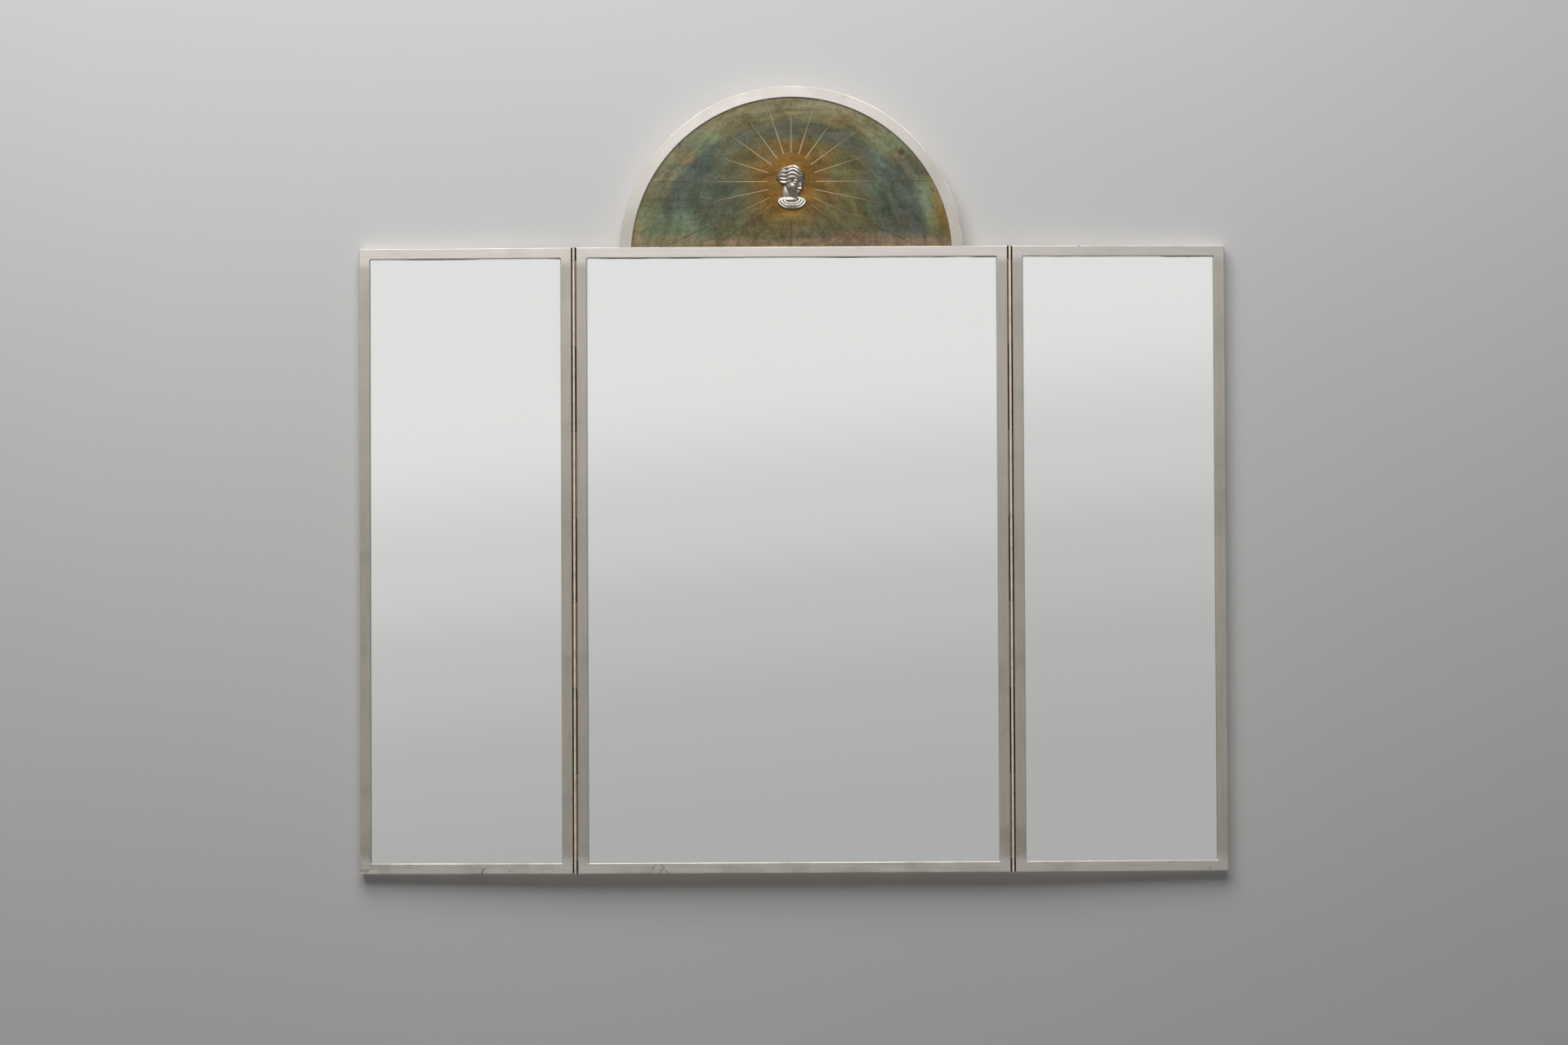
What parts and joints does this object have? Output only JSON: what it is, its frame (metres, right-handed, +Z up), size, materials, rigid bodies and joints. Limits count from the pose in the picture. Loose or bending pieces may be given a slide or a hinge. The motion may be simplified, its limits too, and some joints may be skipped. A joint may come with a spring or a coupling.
{
  "type": "folding mirror",
  "caption": "Wall-hung folding mirror in satin pewter strip frames: a centre panel under a half-round brass lunette with engraved rays and a relief head, and side wings on long tube hinges.",
  "frame": {"origin": "midway between the entry holes of the two keyhole hangers, on the wall plane", "axes": "+X the viewer's right, +Y into the wall, +Z up; the mirrors face -Y"},
  "size_m": [0.6798, 0.023, 0.6178],
  "materials": {
    "pewter": "satin, brushed along the strip, tarnished",
    "cast_pewter": "cast, rubbed bright on the high places",
    "mirror_glass": "polished",
    "patinated_brass": "matt patina in bands of amber, olive and blue green",
    "brass": "satin, aged",
    "steel": "drawn wire",
    "plywood": "birch, oiled",
    "packing": "grey board",
    "rubber": "matt"
  },
  "bodies": {
    "centre": {"centre_top_rail": "pewter", "centre_bottom_rail": "pewter", "centre_left_stile": "pewter", "centre_right_stile": "pewter", "lunette_arch_rail": "pewter", "centre_mirror_glass": "mirror_glass", "centre_packing_sheet": "packing", "centre_back_board": "plywood", "centre_board_pins": "brass", "lunette_plate": "patinated_brass", "lunette_packing_sheet": "packing", "lunette_back_board": "plywood", "lunette_board_pins": "brass", "relief_head": "cast_pewter", "relief_washers": "brass", "relief_nuts": "brass", "left_hanger_plate": "brass", "right_hanger_plate": "brass", "hanger_screws": "brass", "wall_bumpers": "rubber", "bumper_screws": "brass", "left_hinge_frame_knuckles": "pewter", "right_hinge_frame_knuckles": "pewter", "left_hinge_pin": "steel", "right_hinge_pin": "steel"},
    "left_wing": {"left_wing_top_rail": "pewter", "left_wing_bottom_rail": "pewter", "left_wing_inner_stile": "pewter", "left_wing_outer_stile": "pewter", "left_wing_mirror_glass": "mirror_glass", "left_wing_packing_sheet": "packing", "left_wing_back_board": "plywood", "left_wing_board_pins": "brass", "left_hinge_wing_knuckles": "pewter"},
    "right_wing": {"right_wing_top_rail": "pewter", "right_wing_bottom_rail": "pewter", "right_wing_inner_stile": "pewter", "right_wing_outer_stile": "pewter", "right_wing_mirror_glass": "mirror_glass", "right_wing_packing_sheet": "packing", "right_wing_back_board": "plywood", "right_wing_board_pins": "brass", "right_hinge_wing_knuckles": "pewter"}
  },
  "joints": [
    {"name": "left_wing_hinge", "type": "hinge", "parent": "centre", "child": "left_wing", "pos_m": [-0.1708, -0.0187, -0.199], "axis": [0, 0, 1], "range_deg": [0, 182]},
    {"name": "right_wing_hinge", "type": "hinge", "parent": "centre", "child": "right_wing", "pos_m": [0.1708, -0.0187, -0.199], "axis": [0, 0, -1], "range_deg": [0, 182]}
  ]
}
